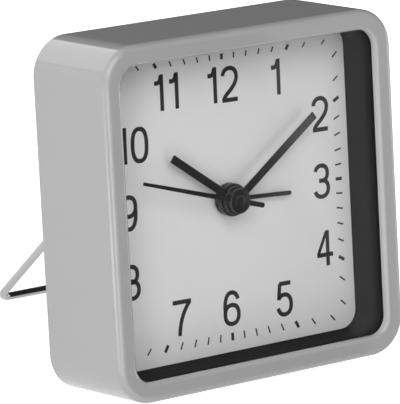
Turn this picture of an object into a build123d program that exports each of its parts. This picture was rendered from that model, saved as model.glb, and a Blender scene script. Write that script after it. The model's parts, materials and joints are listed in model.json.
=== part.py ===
"""Square quartz alarm clock with a moulded case, four hands and a folding wire stand.

The clock is drawn face up on the bench: X to the right of the dial, Y towards twelve,
Z from the back plane towards the reader. At the end it is stood up on its rear bottom
edge and the foot of the wire stand, with Z up and the dial towards -Y.
"""

from build123d import *
import math
import os

# General clearances
overrun = 1.0
slip = 0.05
loose_gap = 0.2

# Case shell
case_width = 90.0
case_draft = 0.3
case_corner = 10.0
case_wall = 2.6
front_wall = 1.8
front_round = 2.6
rear_chamfer = 0.4
front_lip = 5.5
opening_corner = 4.8
opening_round = 0.9
rebate_step = 1.2

# Lens, black surround and dial
lens_thickness = 1.4
dial_setback = 13.2
dial_thickness = 0.5
surround_floor = 1.0
dial_hole_radius = 3.75
post_radius = 2.6
post_inset = 4.4
post_gap = 0.3

# Battery, its box and its contacts
battery_diameter = 14.5
battery_length = 50.5
battery_nub_radius = 2.7
battery_nub = 1.2
battery_edge = 0.8
battery_clearance = 0.1
battery_side_gap = 0.4
battery_end_gap = 2.2
box_wall = 1.2
contact_thickness = 0.4
contact_width = 7.0
contact_height = 8.0
bend_share = 0.9

# Rear cover, its door and its screws
cover_thickness = 1.8
cover_gap = 0.2
door_thickness = 1.1
door_ledge = 1.6
door_gap = 0.15
door_grip_width = 12.0
door_grip_step = 1.6
door_grip_radius = 0.35
door_grips = 3
screw_shank_radius = 0.95
screw_head_radius = 2.0
screw_head = 0.8
screw_reach = 8.0
screw_slot = 0.5

# Movement housing
movement_top = 22.0
movement_gap = 1.2
movement_battery_gap = 1.6
housing_wall = 1.2
housing_corner = 3.0
plate_thickness = 1.2
bush_radius = 3.6
bush_rise = 0.4
ear_radius = 3.0
ear_reach = 3.2
ear_height = 6.0
ear_screw_head = 1.0
ear_screw_bite = 0.8

# Wheels: thickness, room below the first and above the last
wheel_thickness = 0.8
wheel_start = 0.8
wheel_end = 0.4
pin_radius = 0.3
fine_module = 0.2
cannon_module = 0.25
alarm_module = 0.3
third_angle = -5.0
intermediate_angle = 185.0
rotor_angle = 145.0
motion_angle = 45.0
alarm_angle = 120.0

# Tooth counts
rotor_teeth = 12
intermediate_teeth = 60
intermediate_pinion_teeth = 10
seconds_teeth = 60
seconds_pinion_teeth = 8
third_teeth = 60
third_pinion_teeth = 8
centre_teeth = 64
cannon_teeth = 12
motion_teeth = 36
motion_pinion_teeth = 10
hour_teeth = 40
setting_teeth = 12
alarm_teeth = 32
alarm_stem_teeth = 24

# Tooth form as shares of the module and of the pitch
addendum_share = 0.85
dedendum_share = 1.2
root_width_share = 0.58
tip_width_share = 0.2

# Pipes on the centre axis
arbor_radius = 0.55
minute_pipe_radius = 1.25
hour_pipe_radius = 2.0
alarm_pipe_radius = 2.75
pipe_play = 0.07
pipe_flange_radius = 2.0
pipe_flange = 0.3

# Hands: rise of each front face over the dial, clockwise angle from twelve
hand_thickness = 0.4
hub_gap = 0.2
alarm_rise = 1.7
alarm_hand_angle = 93.3
alarm_hand_length = 19.3
alarm_hand_width = 1.1
alarm_hub_radius = 4.2
hour_rise = 3.1
hour_hand_angle = 305.7
hour_hand_length = 22.5
hour_hand_width = 2.1
hour_hub_radius = 4.2
minute_rise = 4.5
minute_hand_angle = 54.6
minute_hand_length = 31.6
minute_hand_width = 2.05
minute_hub_radius = 3.7
second_rise = 5.6
second_hand_angle = 286.5
second_hand_length = 30.5
second_root_width = 1.35
second_tip_width = 0.85
second_tail = 8.0
second_tail_width = 1.3
second_hub_radius = 3.2
cap_rise = 0.5
hub_chamfer = 0.15

# Stepping motor
coil_length = 15.0
coil_offset = 9.0
coil_gap = 0.4
bobbin_radius = 3.6
bobbin_core_radius = 1.6
bobbin_flange = 0.8
bobbin_lift = 0.2
winding_inset = 0.3
core_radius = 0.9
stator_thickness = 0.8
stator_half_width = 4.0
stator_arm = 2.5
stator_bore = 3.2
magnet_radius = 2.7
magnet_height = 1.4

# Circuit board and what is on it
board_width = 12.0
board_edge = 0.6
board_thickness = 1.0
board_lift = 1.8
board_top_gap = 3.0
board_post_radius = 1.2
crystal_radius = 1.0
crystal_length = 6.0
chip_radius = 3.5
chip_height = 1.2
round_share = 0.25
chip_round_share = 0.5
contact_leaf = 0.25
leaf_width = 2.0
leaf_drop = 2.5
leaf_gap = 0.25

# Knobs and stems
stem_radius = 1.2
stem_hole_play = 0.3
knob_radius = 5.0
knob_height = 3.8
knob_gap = 0.4
knob_roof = 0.8
knob_flutes = 24
flute_share = 0.16

# Sounder
buzzer_radius = 9.5
buzzer_thickness = 0.3
buzzer_x = -17.0
buzzer_margin = 1.2
buzzer_ring = 0.6
buzzer_ring_wall = 0.9
sound_slot_width = 1.2
sound_slot_pitch = 2.6
sound_slots = 5

# Alarm switch
switch_x = 16.0
switch_travel = 4.0
switch_neck = 2.4
switch_cap_length = 5.0
switch_cap_width = 4.0
switch_cap_height = 1.5
switch_foot_length = 7.0
switch_foot = 0.5
switch_groove_radius = 0.35

# Wire stand and its lugs
wire_radius = 1.0
stand_inset = 7.9
stand_standoff = 1.45
stand_hinge_height = -1.1
stand_margin = 0.1
stand_open_angle = 53.1
stand_bend = 2.2
stand_foot_bend = 3.4
stand_pin = 5.0
lug_width = 2.6
lug_wall = 0.95
stop_thickness = 1.4
stop_reach = 5.5

# Heights of the stack, from the back plane
case_half = case_width / 2
floor_back = door_thickness + battery_diameter + 2 * battery_clearance
dial_back = floor_back + surround_floor
dial_front = dial_back + dial_thickness
case_depth = dial_front + dial_setback
lens_front = case_depth - front_wall
lens_back = lens_front - lens_thickness
plate_back = floor_back - plate_thickness
housing_back = cover_thickness + movement_gap
housing_floor = housing_back + housing_wall

# Inside sizes of the case
opening_width = case_width - 2 * front_lip
draft_angle = math.degrees(math.atan2(case_draft, case_depth))
pocket_half = case_half - case_wall
pocket_front_half = pocket_half - case_draft
rebate_half = pocket_half + rebate_step
cover_half = rebate_half - cover_gap
pocket_corner = case_corner - case_wall
surround_half = pocket_front_half - loose_gap
surround_corner = pocket_corner - case_draft - loose_gap
post_at = pocket_half - post_inset

# Battery bay
battery_radius = battery_diameter / 2
battery_z = door_thickness + battery_clearance + battery_radius
box_half_length = battery_length / 2 + battery_end_gap
box_half_height = battery_radius + battery_side_gap
battery_y = -(post_at - post_radius - post_gap - box_wall - box_half_height)
movement_bottom = battery_y + box_half_height + box_wall + movement_battery_gap

# Wheel levels, from the rear of the movement to the front
levels = 7
level_room = plate_back - housing_floor - wheel_start - wheel_end - wheel_thickness
level_step = level_room / (levels - 1)
level = [housing_floor + wheel_start + step * level_step for step in range(levels)]

# Wheel places
third_distance = fine_module * (seconds_pinion_teeth + third_teeth) / 2
centre_module = 2 * third_distance / (third_pinion_teeth + centre_teeth)
intermediate_distance = fine_module * (intermediate_pinion_teeth + seconds_teeth) / 2
rotor_distance = fine_module * (rotor_teeth + intermediate_teeth) / 2
motion_distance = cannon_module * (cannon_teeth + motion_teeth) / 2
hour_module = 2 * motion_distance / (motion_pinion_teeth + hour_teeth)
setting_distance = cannon_module * (motion_teeth + setting_teeth) / 2
alarm_distance = alarm_module * (alarm_teeth + alarm_stem_teeth) / 2


def polar(start, distance, angle):
    """The point at a distance and an angle from the start, on the plane of the dial."""
    turn = math.radians(angle)
    return (start[0] + distance * math.cos(turn), start[1] + distance * math.sin(turn))


centre = (0, 0)
third_at = polar(centre, third_distance, third_angle)
intermediate_at = polar(centre, intermediate_distance, intermediate_angle)
rotor_at = polar(intermediate_at, rotor_distance, rotor_angle)
motion_at = polar(centre, motion_distance, motion_angle)
time_at = polar(motion_at, setting_distance, motion_angle)
alarm_at = polar(centre, alarm_distance, alarm_angle)

# Places on the rear cover
buzzer_at = (buzzer_x, pocket_half - buzzer_margin - buzzer_radius)
switch_at = (switch_x, buzzer_at[1])
stand_half = cover_half - stand_inset
stand_leg = case_half + stand_hinge_height - wire_radius - stand_margin
hinge_z = -stand_standoff

# Motor places
coil_z = housing_floor + bobbin_lift + bobbin_radius
coil_at = (rotor_at[0] - coil_offset, rotor_at[1])
movement_width = 2 * (bobbin_radius + coil_gap + housing_wall - coil_at[0])

# Circuit board places
board_right = movement_width / 2 - housing_wall - board_edge
board_left = board_right - board_width
board_low = movement_bottom + housing_wall + board_edge
board_high = movement_top - housing_wall - board_top_gap
board_back = housing_floor + board_lift
board_front = board_back + board_thickness
board_x = (board_left + board_right) / 2
board_y = (board_low + board_high) / 2


# Shapes used by many pieces
def disc(radius, low, high, at=centre):
    """A round piece between two heights."""
    return Pos(at[0], at[1], low) * Cylinder(
        radius, high - low, align=(Align.CENTER, Align.CENTER, Align.MIN)
    )


def tube(outer, inner, low, high, at=centre):
    """A pipe between two heights."""
    return disc(outer, low, high, at) - disc(inner, low - overrun, high + overrun, at)


def slab(width, height, low, high, at=centre, corner=0):
    """A flat piece between two heights, with round corners if a corner radius is given."""
    outline = RectangleRounded(width, height, corner) if corner else Rectangle(width, height)
    return Pos(at[0], at[1], low) * extrude(outline, amount=high - low)


def square_ring(outer, outer_corner, inner, inner_corner, low, high):
    """A square frame with round corners."""
    hole = slab(inner, inner, low - overrun, high + overrun, corner=inner_corner)
    return slab(outer, outer, low, high, corner=outer_corner) - hole


def gear(teeth, module, phase, low, high, at=centre):
    """A spur wheel with straight tooth flanks; the phase is the angle of one tooth."""
    pitch = 2 * math.pi / teeth
    root = module * (teeth / 2 - dedendum_share)
    tip = module * (teeth / 2 + addendum_share)
    corners = []
    for tooth in range(teeth):
        middle = math.radians(phase) + tooth * pitch
        for radius, share in (
            (root, -root_width_share),
            (tip, -tip_width_share),
            (tip, tip_width_share),
            (root, root_width_share),
        ):
            turn = middle + share * pitch / 2
            corners.append((radius * math.cos(turn), radius * math.sin(turn)))
    face = make_face(Polyline(*corners, close=True))
    return Pos(at[0], at[1], low) * extrude(face, amount=high - low)


def meshed_phase(phase, teeth, other_teeth, angle):
    """The tooth angle of a wheel at the given direction, whose gap takes the first wheel's tooth."""
    offset = phase - angle
    return angle + 180 - offset * teeth / other_teeth + 180 / other_teeth


def wheel_level(step):
    """The lower and upper face of a wheel on one level."""
    return level[step], level[step] + wheel_thickness


# Case, lens, surround and dial
def make_case_shell():
    """A drafted square shell with a front lip, a rebate for the rear cover and a chamfered rear edge."""
    outline = RectangleRounded(case_width, case_width, case_corner)
    body = extrude(outline, amount=case_depth, taper=draft_angle)
    pocket_outline = RectangleRounded(2 * pocket_half, 2 * pocket_half, pocket_corner)
    body -= extrude(pocket_outline, amount=lens_front, taper=draft_angle)
    rebate_corner = pocket_corner + rebate_step
    body -= slab(2 * rebate_half, 2 * rebate_half, -overrun, cover_thickness, corner=rebate_corner)
    window_low = lens_front - overrun
    window_high = case_depth + overrun
    body -= slab(opening_width, opening_width, window_low, window_high, corner=opening_corner)
    body = fillet(rim(body, case_depth, rebate_half, case_half), front_round)
    body = fillet(rim(body, case_depth, 0, opening_width / 2), opening_round)
    return chamfer(rim(body, 0, rebate_half, case_half), rear_chamfer)


def rim(body, height, inner_reach, outer_reach):
    """The edges at one height whose ends lie between two distances from the middle."""

    def reach(edge):
        return max(max(abs(end.X), abs(end.Y)) for end in edge.vertices())

    edges = body.edges().filter_by_position(Axis.Z, height - slip, height + slip)
    return edges.filter_by(lambda edge: inner_reach + slip < reach(edge) < outer_reach + slip)


def make_lens():
    """A clear square plate held between the front lip and the surround."""
    return slab(2 * surround_half, 2 * surround_half, lens_back, lens_front, corner=surround_corner)


def make_dial_surround():
    """A deep black frame with the floor under the dial and four screw posts."""
    walls = square_ring(
        2 * surround_half, surround_corner, opening_width, opening_corner, dial_back, lens_back
    )
    floor = slab(2 * surround_half, 2 * surround_half, floor_back, dial_back, corner=surround_corner)
    body = walls + floor
    body -= disc(dial_hole_radius, floor_back - overrun, dial_back + overrun)
    for spot in corners_at(post_at):
        body += tube(post_radius, screw_shank_radius, cover_thickness, floor_back, spot)
    for spot in ear_spots():
        body -= disc(screw_shank_radius, floor_back - overrun, floor_back + ear_screw_bite, spot)
    return body


def corners_at(reach):
    """The four corners of a square."""
    return [(reach * sx, reach * sy) for sx in (-1, 1) for sy in (-1, 1)]


def ear_spots():
    """The two places where the movement is screwed to the surround."""
    reach = movement_width / 2 + ear_reach
    return [(-reach, ear_height), (reach, ear_height)]


def make_dial():
    """A thin plate inside the surround with the hole for the centre bush."""
    size = opening_width - 2 * loose_gap
    plate = slab(size, size, dial_back, dial_front, corner=opening_corner)
    return plate - disc(dial_hole_radius, dial_back - overrun, dial_front + overrun)


# Hands
def hand_blank(hub_radius, bore, low, high, blade, angle):
    """A flat blade on a round hub, turned clockwise from twelve."""
    hub = disc(hub_radius, low, high)
    hub = chamfer(hub.edges().group_by(Axis.Z)[-1], hub_chamfer)
    body = hub + Pos(0, 0, high - hand_thickness) * extrude(blade, amount=hand_thickness)
    body -= disc(bore, low - overrun, high + overrun)
    return Rot(0, 0, -angle) * body


def bar(length, width):
    """A straight blade from the axis to its square end."""
    return Pos(0, length / 2) * Rectangle(width, length)


def make_alarm_hand():
    """The short thin hand nearest the dial, with a round tip."""
    shaft = alarm_hand_length - alarm_hand_width / 2
    blade = bar(shaft, alarm_hand_width) + Pos(0, shaft) * Circle(alarm_hand_width / 2)
    high = dial_front + alarm_rise
    low = dial_front + bush_rise + hub_gap
    return hand_blank(alarm_hub_radius, alarm_pipe_radius, low, high, blade, alarm_hand_angle)


def make_hour_hand():
    """The broad short hand with a square end."""
    blade = bar(hour_hand_length, hour_hand_width)
    high = dial_front + hour_rise
    low = dial_front + alarm_rise + hub_gap
    return hand_blank(hour_hub_radius, hour_pipe_radius, low, high, blade, hour_hand_angle)


def make_minute_hand():
    """The broad long hand with a square end."""
    blade = bar(minute_hand_length, minute_hand_width)
    high = dial_front + minute_rise
    low = dial_front + hour_rise + hub_gap
    return hand_blank(minute_hub_radius, minute_pipe_radius, low, high, blade, minute_hand_angle)


def make_second_hand():
    """The tapering hand with a tail and a closed cap."""
    root = second_root_width / 2
    tip = second_tip_width / 2
    long_end = Polyline(
        (-root, 0), (-tip, second_hand_length), (tip, second_hand_length), (root, 0), close=True
    )
    tail_length = second_tail - second_tail_width / 2
    tail = Pos(0, -tail_length / 2) * Rectangle(second_tail_width, tail_length)
    blade = make_face(long_end) + tail + Pos(0, -tail_length) * Circle(second_tail_width / 2)
    low = dial_front + minute_rise + hub_gap
    high = dial_front + second_rise
    cap_top = high + cap_rise
    hub = disc(second_hub_radius, low, cap_top)
    hub = chamfer(hub.edges().group_by(Axis.Z)[-1], hub_chamfer)
    body = hub + Pos(0, 0, high - hand_thickness) * extrude(blade, amount=hand_thickness)
    body -= disc(arbor_radius, low - overrun, high)
    return Rot(0, 0, -second_hand_angle) * body


# Movement housing
def make_movement_plate():
    """The front plate with the centre bush, the motion wheel's pin and two screw ears."""
    height = movement_top - movement_bottom
    middle = (0, (movement_top + movement_bottom) / 2)
    body = slab(movement_width, height, plate_back, floor_back, middle, housing_corner)
    for spot in ear_spots():
        body += disc(ear_radius, plate_back, floor_back, spot)
        inner = (math.copysign(movement_width / 2, spot[0]), spot[1])
        arm = ((spot[0] + inner[0]) / 2, spot[1])
        body += slab(abs(spot[0] - inner[0]) + ear_radius, 2 * ear_radius, plate_back, floor_back, arm)
        body -= disc(screw_shank_radius, plate_back - overrun, floor_back + overrun, spot)
    body += disc(bush_radius, plate_back, dial_front + bush_rise)
    bore = alarm_pipe_radius + pipe_play
    body -= disc(bore, plate_back - overrun, dial_front + bush_rise + overrun)
    return body + disc(pin_radius, level[4] - wheel_start / 2, plate_back, motion_at)


def make_movement_housing():
    """The rear tub with pins for the wheels and guides for the two setting stems."""
    height = movement_top - movement_bottom
    middle = (0, (movement_top + movement_bottom) / 2)
    body = slab(movement_width, height, housing_back, plate_back, middle, housing_corner)
    inside_width = movement_width - 2 * housing_wall
    inside_height = height - 2 * housing_wall
    inside_corner = housing_corner - housing_wall
    body -= slab(inside_width, inside_height, housing_floor, plate_back + overrun, middle, inside_corner)
    body += disc(pin_radius, housing_floor, level[1] + wheel_thickness, intermediate_at)
    body += disc(pin_radius, housing_floor, level[3] + wheel_thickness, third_at)
    body += disc(pin_radius, housing_floor, coil_z + magnet_height / 2, rotor_at)
    body -= disc(arbor_radius + slip, housing_back + housing_wall / 2, housing_floor + overrun)
    for spot in (time_at, alarm_at):
        body += disc(stem_radius + housing_wall, housing_floor, housing_floor + wheel_start, spot)
        body -= disc(stem_radius + slip, housing_back - overrun, plate_back, spot)
    for y in (board_low + board_post_radius, board_high - board_post_radius):
        body += disc(board_post_radius, housing_floor, board_back, (board_x, y))
    cradle_low = housing_floor
    cradle_high = coil_z - bobbin_radius
    for y in (coil_at[1] - coil_length / 4, coil_at[1] + coil_length / 4):
        body += slab(bobbin_radius, bobbin_flange, cradle_low, cradle_high, (coil_at[0], y))
    return body


# Stepping motor
def make_coil_bobbin():
    """A spool with two flanges, lying along Y."""
    spool = Cylinder(bobbin_core_radius, coil_length)
    reach = (coil_length - bobbin_flange) / 2
    for side in (-1, 1):
        spool += Pos(0, 0, side * reach) * Cylinder(bobbin_radius, bobbin_flange)
    spool -= Cylinder(core_radius, coil_length + overrun)
    return Pos(coil_at[0], coil_at[1], coil_z) * Rot(90, 0, 0) * spool


def make_coil_winding():
    """The wound copper between the flanges."""
    length = coil_length - 2 * bobbin_flange
    outer = Cylinder(bobbin_radius - winding_inset, length)
    return Pos(coil_at[0], coil_at[1], coil_z) * Rot(90, 0, 0) * (
        outer - Cylinder(bobbin_core_radius, length + overrun)
    )


def make_stator():
    """The iron circuit: a plate round the magnet, two arms and the coil's core."""
    low = coil_z - stator_thickness / 2
    high = coil_z + stator_thickness / 2
    height = coil_length + 2 * stator_arm
    body = slab(2 * stator_half_width, height, low, high, rotor_at)
    arm_left = coil_at[0] - core_radius
    arm_right = rotor_at[0] - stator_half_width
    arm_x = (arm_left + arm_right) / 2
    for side in (-1, 1):
        arm_y = rotor_at[1] + side * (coil_length + stator_arm) / 2
        body += slab(arm_right - arm_left, stator_arm, low, high, (arm_x, arm_y))
    body -= disc(stator_bore, low - overrun, high + overrun, rotor_at)
    core = Cylinder(core_radius, coil_length + stator_arm)
    return body + Pos(coil_at[0], coil_at[1], coil_z) * Rot(90, 0, 0) * core


def make_rotor(phase):
    """The magnet and its pinion on one pin."""
    magnet = disc(magnet_radius, coil_z - magnet_height / 2, coil_z + magnet_height / 2, rotor_at)
    low = level[1]
    body = magnet + gear(rotor_teeth, fine_module, phase, low, coil_z, rotor_at)
    return body - disc(pin_radius + slip, low - overrun, coil_z + magnet_height, rotor_at)


# Going train
def make_intermediate_wheel(phase, pinion_phase):
    """The wheel between the rotor and the seconds wheel."""
    low, high = wheel_level(1)
    body = gear(intermediate_teeth, fine_module, phase, low, high, intermediate_at)
    body += gear(
        intermediate_pinion_teeth, fine_module, pinion_phase, level[0], high, intermediate_at
    )
    return body - disc(pin_radius + slip, level[0] - overrun, high + overrun, intermediate_at)


def make_seconds_wheel(phase, pinion_phase):
    """The wheel and pinion on the long arbor of the second hand."""
    low, high = wheel_level(0)
    body = gear(seconds_teeth, fine_module, phase, low, high)
    body += gear(seconds_pinion_teeth, fine_module, pinion_phase, *wheel_level(2))
    return body + disc(arbor_radius, housing_back + housing_wall / 2, dial_front + second_rise)


def make_third_wheel(phase, pinion_phase):
    """The wheel that takes the seconds pinion down to the centre wheel."""
    low, high = wheel_level(2)
    top = wheel_level(3)[1]
    body = gear(third_teeth, fine_module, phase, low, high, third_at)
    body += gear(third_pinion_teeth, centre_module, pinion_phase, low, top, third_at)
    return body - disc(pin_radius + slip, low - overrun, top + overrun, third_at)


def make_centre_wheel(phase):
    """The wheel that drives the minute pipe and slips on it while the hands are set."""
    low, high = wheel_level(3)
    body = gear(centre_teeth, centre_module, phase, low, high)
    return body - disc(minute_pipe_radius + slip, low - overrun, high + overrun)


# Motion work
def make_minute_pipe(phase):
    """The pipe of the minute hand with its flange, collar and cannon pinion."""
    wheel_low, wheel_high = wheel_level(3)
    low, high = wheel_level(4)
    flange_top = wheel_low - slip
    body = disc(pipe_flange_radius, flange_top - pipe_flange, flange_top)
    body += disc(minute_pipe_radius, flange_top - pipe_flange, dial_front + minute_rise)
    collar_low = wheel_high + slip
    body += disc(pipe_flange_radius, collar_low, collar_low + pipe_flange)
    body += gear(cannon_teeth, cannon_module, phase, low, high)
    bore = arbor_radius + pipe_play
    return body - disc(bore, flange_top - pipe_flange - overrun, dial_front + minute_rise + overrun)


def make_motion_wheel(phase, pinion_phase):
    """The wheel and pinion that slow the minute pipe down to the hour wheel."""
    low, high = wheel_level(4)
    top = wheel_level(5)[1]
    body = gear(motion_teeth, cannon_module, phase, low, high, motion_at)
    body += gear(motion_pinion_teeth, hour_module, pinion_phase, low, top, motion_at)
    return body - disc(pin_radius + slip, low - overrun, top + overrun, motion_at)


def make_hour_wheel(phase):
    """The hour wheel and its pipe."""
    low, high = wheel_level(5)
    body = gear(hour_teeth, hour_module, phase, low, high)
    body += disc(hour_pipe_radius, low, dial_front + hour_rise)
    return body - disc(minute_pipe_radius + pipe_play, low - overrun, dial_front + hour_rise + overrun)


def make_alarm_wheel(phase):
    """The alarm wheel and its pipe, the outermost of the four."""
    low, high = wheel_level(6)
    body = gear(alarm_teeth, alarm_module, phase, low, high)
    body += disc(alarm_pipe_radius, low, dial_front + alarm_rise)
    return body - disc(hour_pipe_radius + pipe_play, low - overrun, dial_front + alarm_rise + overrun)


# Setting stems and knobs
def make_stem(teeth, module, phase, step, at):
    """A setting stem with its pinion at the front and its end inside the knob."""
    low, high = wheel_level(step)
    stem = disc(stem_radius, -knob_gap - knob_height + knob_roof, low, at)
    return stem + gear(teeth, module, phase, low, high, at)


def make_knob(at):
    """A fluted knob with a blind bore for its stem."""
    module = 2 * knob_radius / knob_flutes
    root = knob_radius * (1 - flute_share)
    low = -knob_gap - knob_height
    body = disc(root, low, -knob_gap, at)
    for flute in range(knob_flutes):
        spot = polar(at, root, flute * 360 / knob_flutes)
        body += disc(module * (1 - flute_share), low, -knob_gap, spot)
    return body - disc(stem_radius, low + knob_roof, overrun, at)


# Electronics
def make_circuit_board():
    """The board beside the wheels."""
    return slab(
        board_width, board_high - board_low, board_back, board_front, (board_x, board_y)
    )


def make_quartz_crystal():
    """The small metal can of the crystal, lying on the board."""
    can = fillet(Cylinder(crystal_radius, crystal_length).edges(), crystal_radius * round_share)
    lift = board_front + crystal_radius
    middle = board_high - board_edge - crystal_length / 2
    return Pos(board_x, middle, lift) * Rot(90, 0, 0) * can


def make_control_chip():
    """The round drop of resin over the chip."""
    drop = disc(chip_radius, board_front, board_front + chip_height, (board_x, board_y))
    return fillet(drop.edges().group_by(Axis.Z)[-1], chip_height * chip_round_share)


def make_alarm_contact():
    """A thin leaf on a post, reaching under the rim of the hour wheel."""
    leaf_top = level[5] - leaf_gap
    leaf_low = leaf_top - contact_leaf
    reach = hour_module * hour_teeth / 2
    spot = (board_left + leaf_width / 2, -leaf_drop)
    body = slab(leaf_width, leaf_width, board_front, leaf_top, spot)
    length = board_left - reach
    return body + slab(length, leaf_width, leaf_low, leaf_top, (reach + length / 2, -leaf_drop))


def make_buzzer():
    """The thin sounder disc on its ring."""
    low = cover_thickness + buzzer_ring
    return disc(buzzer_radius, low, low + buzzer_thickness, buzzer_at)


# Battery and contacts
def make_battery():
    """A round cell with its nub to the right."""
    can_length = battery_length - battery_nub
    can = fillet(Cylinder(battery_radius, can_length).edges(), battery_edge)
    nub = Pos(0, 0, battery_length / 2) * Cylinder(battery_nub_radius, battery_nub)
    cell = can + nub
    return Pos(-battery_nub / 2, battery_y, battery_z) * Rot(0, 90, 0) * cell


def make_contact(side):
    """A springy strip folded into a U between the cell's end and the end of the box."""
    inner = battery_length / 2 + contact_thickness / 2
    outer = box_half_length - contact_thickness / 2
    low = battery_z - contact_height / 2
    high = battery_z + contact_height / 2
    bend = (outer - inner) / 2
    line = FilletPolyline(
        (inner, low), (inner, high + bend), (outer, high + bend), (outer, low), radius=bend * bend_share
    )
    strip = extrude(Plane.XZ * trace(line, contact_thickness), amount=contact_width / 2, both=True)
    folded = strip if side > 0 else mirror(strip, about=Plane.YZ)
    return Pos(0, battery_y, 0) * folded


# Rear cover and what is on it
def make_rear_cover():
    """The rear cover with battery box, sound slots, switch slot and stand lugs."""
    corner = pocket_corner + rebate_step - cover_gap
    body = slab(2 * cover_half, 2 * cover_half, 0, cover_thickness, corner=corner)
    bay = (0, battery_y)
    box_length = 2 * box_half_length
    box_height = 2 * box_half_height
    body += slab(box_length + 2 * box_wall, box_height + 2 * box_wall, 0, battery_z, bay)
    body -= slab(box_length, box_height, -overrun, battery_z + overrun, bay)
    recess_length = box_length + 2 * door_ledge
    recess_height = box_height + 2 * door_ledge
    body -= slab(recess_length, recess_height, -overrun, door_thickness, bay)
    for spot in (time_at, alarm_at):
        body -= disc(stem_radius + stem_hole_play, -overrun, cover_thickness + overrun, spot)
    for spot in corners_at(post_at):
        body -= disc(screw_shank_radius, -overrun, cover_thickness + overrun, spot)
        body -= disc(screw_head_radius, -overrun, screw_head + slip, spot)
    body += tube(
        buzzer_radius, buzzer_radius - buzzer_ring_wall, cover_thickness, cover_thickness + buzzer_ring, buzzer_at
    )
    for slot in range(sound_slots):
        offset = (slot - (sound_slots - 1) / 2) * sound_slot_pitch
        reach = buzzer_radius - 2 * buzzer_ring_wall
        length = 2 * math.sqrt(reach**2 - offset**2)
        hole = SlotOverall(length, sound_slot_width)
        spot = Pos(buzzer_at[0], buzzer_at[1] + offset, -overrun)
        body -= spot * extrude(hole, amount=cover_thickness + 2 * overrun)
    slot_length = switch_travel + switch_neck + 2 * loose_gap
    slot_at = (switch_at[0] + switch_travel / 2, switch_at[1])
    body -= slab(slot_length, switch_neck + 2 * loose_gap, -overrun, cover_thickness + overrun, slot_at)
    for side in (-1, 1):
        body += stand_lug(side)
    return body


def stand_lug(side):
    """The ear that holds one end of the wire, and the stop that the open leg meets."""
    radius = wire_radius + lug_wall
    inner = stand_half - stand_bend - lug_width
    ear = Plane.YZ * (
        Pos(stand_hinge_height, hinge_z) * Circle(radius)
        + Pos(stand_hinge_height, hinge_z / 2) * Rectangle(2 * radius, stand_standoff)
    )
    ear = Pos(inner, 0, 0) * extrude(ear, amount=lug_width)
    ear -= Pos(0, stand_hinge_height, hinge_z) * Rot(0, 90, 0) * Cylinder(
        wire_radius + slip, 2 * case_width
    )
    slope = math.radians(stand_open_angle)
    away = (math.sin(slope), -math.cos(slope))
    down = (-math.cos(slope), -math.sin(slope))
    near = (
        stand_hinge_height + away[0] * (wire_radius + slip),
        hinge_z + away[1] * (wire_radius + slip),
    )
    start = (near[0] - down[0] * near[1] / down[1], 0)
    far = (near[0] + down[0] * stop_reach / 2, near[1] + down[1] * stop_reach / 2)
    back = (far[0] + away[0] * stop_thickness, far[1] + away[1] * stop_thickness)
    foot = (start[0] + stop_thickness / math.sin(slope) + stop_thickness, 0)
    wedge = make_face(Polyline(start, far, back, foot, close=True))
    stop = extrude(Plane.YZ * wedge, amount=2 * wire_radius)
    stop = Pos(stand_half - wire_radius, 0, 0) * stop
    lug = ear + stop
    return lug if side > 0 else mirror(lug, about=Plane.YZ)


def make_battery_door():
    """The flush lid of the battery bay with ribs for the thumb."""
    length = 2 * (box_half_length + door_ledge - door_gap)
    height = 2 * (box_half_height + door_ledge - door_gap)
    body = slab(length, height, 0, door_thickness, (0, battery_y))
    for grip in range(door_grips):
        y = battery_y + (grip - (door_grips - 1) / 2) * door_grip_step
        body += Pos(0, y, 0) * Rot(0, 90, 0) * Cylinder(door_grip_radius, door_grip_width)
    return body


def make_alarm_switch():
    """The slide switch: a ribbed cap outside, a neck in the slot and a foot inside."""
    cap = slab(switch_cap_length, switch_cap_width, -slip - switch_cap_height, -slip, switch_at)
    for offset in (-1, 0, 1):
        x = switch_at[0] + offset * switch_cap_length / 4
        spot = Pos(x, switch_at[1], -slip - switch_cap_height) * Rot(90, 0, 0)
        cap -= spot * Cylinder(switch_groove_radius, switch_cap_width + overrun)
    foot_low = cover_thickness + slip
    neck = slab(switch_neck, switch_neck, -slip, foot_low, switch_at)
    foot = slab(switch_foot_length, switch_cap_width, foot_low, foot_low + switch_foot, switch_at)
    return cap + neck + foot


def make_wire_stand():
    """One bent wire: two ends in the lugs, two legs and the foot bar, opened to its stop."""
    pin_start = stand_half - stand_pin
    points = [
        (pin_start, 0, 0),
        (stand_half, 0, 0),
        (stand_half, -stand_leg, 0),
        (-stand_half, -stand_leg, 0),
        (-stand_half, 0, 0),
        (-pin_start, 0, 0),
    ]
    path = FilletPolyline(*points, radius=[stand_bend, stand_foot_bend, stand_foot_bend, stand_bend])
    section = Plane(origin=path @ 0, z_dir=path % 0) * Circle(wire_radius)
    wire = sweep(section, path=path)
    return Pos(0, stand_hinge_height, hinge_z) * Rot(stand_open_angle, 0, 0) * wire


# Screws
def make_cover_screws():
    """Four screws that clamp the case between the cover and the surround."""
    screws = []
    for spot in corners_at(post_at):
        head = disc(screw_head_radius - slip, 0, screw_head, spot)
        slot = slab(2 * screw_head_radius, screw_slot, -overrun, screw_head / 2, spot)
        shank = disc(screw_shank_radius, screw_head, cover_thickness + screw_reach, spot)
        screws.append(head - slot + shank)
    return Compound(children=screws)


def make_movement_screws():
    """Two screws through the ears of the movement plate."""
    screws = []
    for spot in ear_spots():
        head_low = plate_back - ear_screw_head
        head = disc(screw_head_radius, head_low, plate_back, spot)
        slot = slab(2 * screw_head_radius, screw_slot, head_low - overrun, plate_back - screw_slot, spot)
        shank = disc(screw_shank_radius, plate_back, floor_back + ear_screw_bite, spot)
        screws.append(head - slot + shank)
    return Compound(children=screws)


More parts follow.
